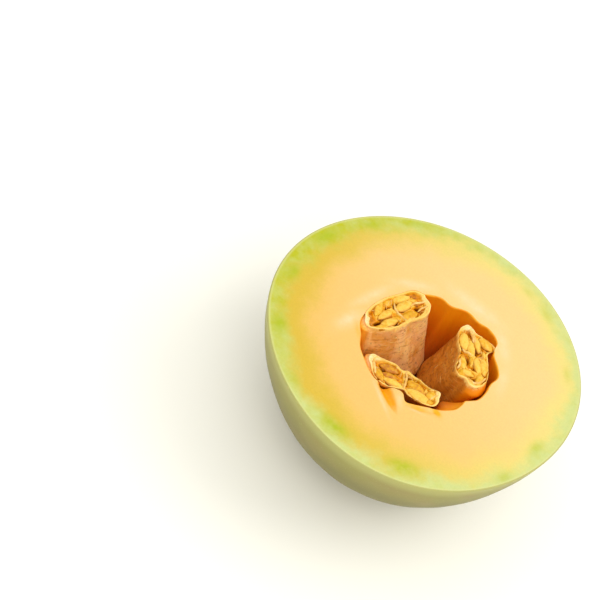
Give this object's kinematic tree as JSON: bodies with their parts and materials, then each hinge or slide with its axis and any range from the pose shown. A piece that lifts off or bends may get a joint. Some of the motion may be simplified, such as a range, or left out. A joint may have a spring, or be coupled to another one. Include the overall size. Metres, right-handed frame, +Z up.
{
  "type": "honeydew melon half",
  "caption": "Half of a round melon cut level across the middle, with a smooth rind, thick flesh and an open seed cavity where sheathed bundles of flat seeds stand.",
  "frame": {"origin": "middle of the half's overall size in X and Y, on the small flat spot of the rind that it rests on", "axes": "+Z up, square out of the level cut face; -Y towards the seed bundle that lies along the cavity's near edge, +X to the right of it"},
  "size_m": [0.1504, 0.1504, 0.0723],
  "materials": {
    "melon_flesh": "moist orange flesh under a smooth, pale yellow-green waxy rind",
    "seed_bundle": "moist fibrous sheath, tan to pale yellow, packed with cream-yellow seeds"
  },
  "bodies": {
    "root": {"melon_half": "melon_flesh", "seed_bundle_left": "seed_bundle", "seed_bundle_right": "seed_bundle", "seed_bundle_near": "seed_bundle"}
  },
  "joints": []
}
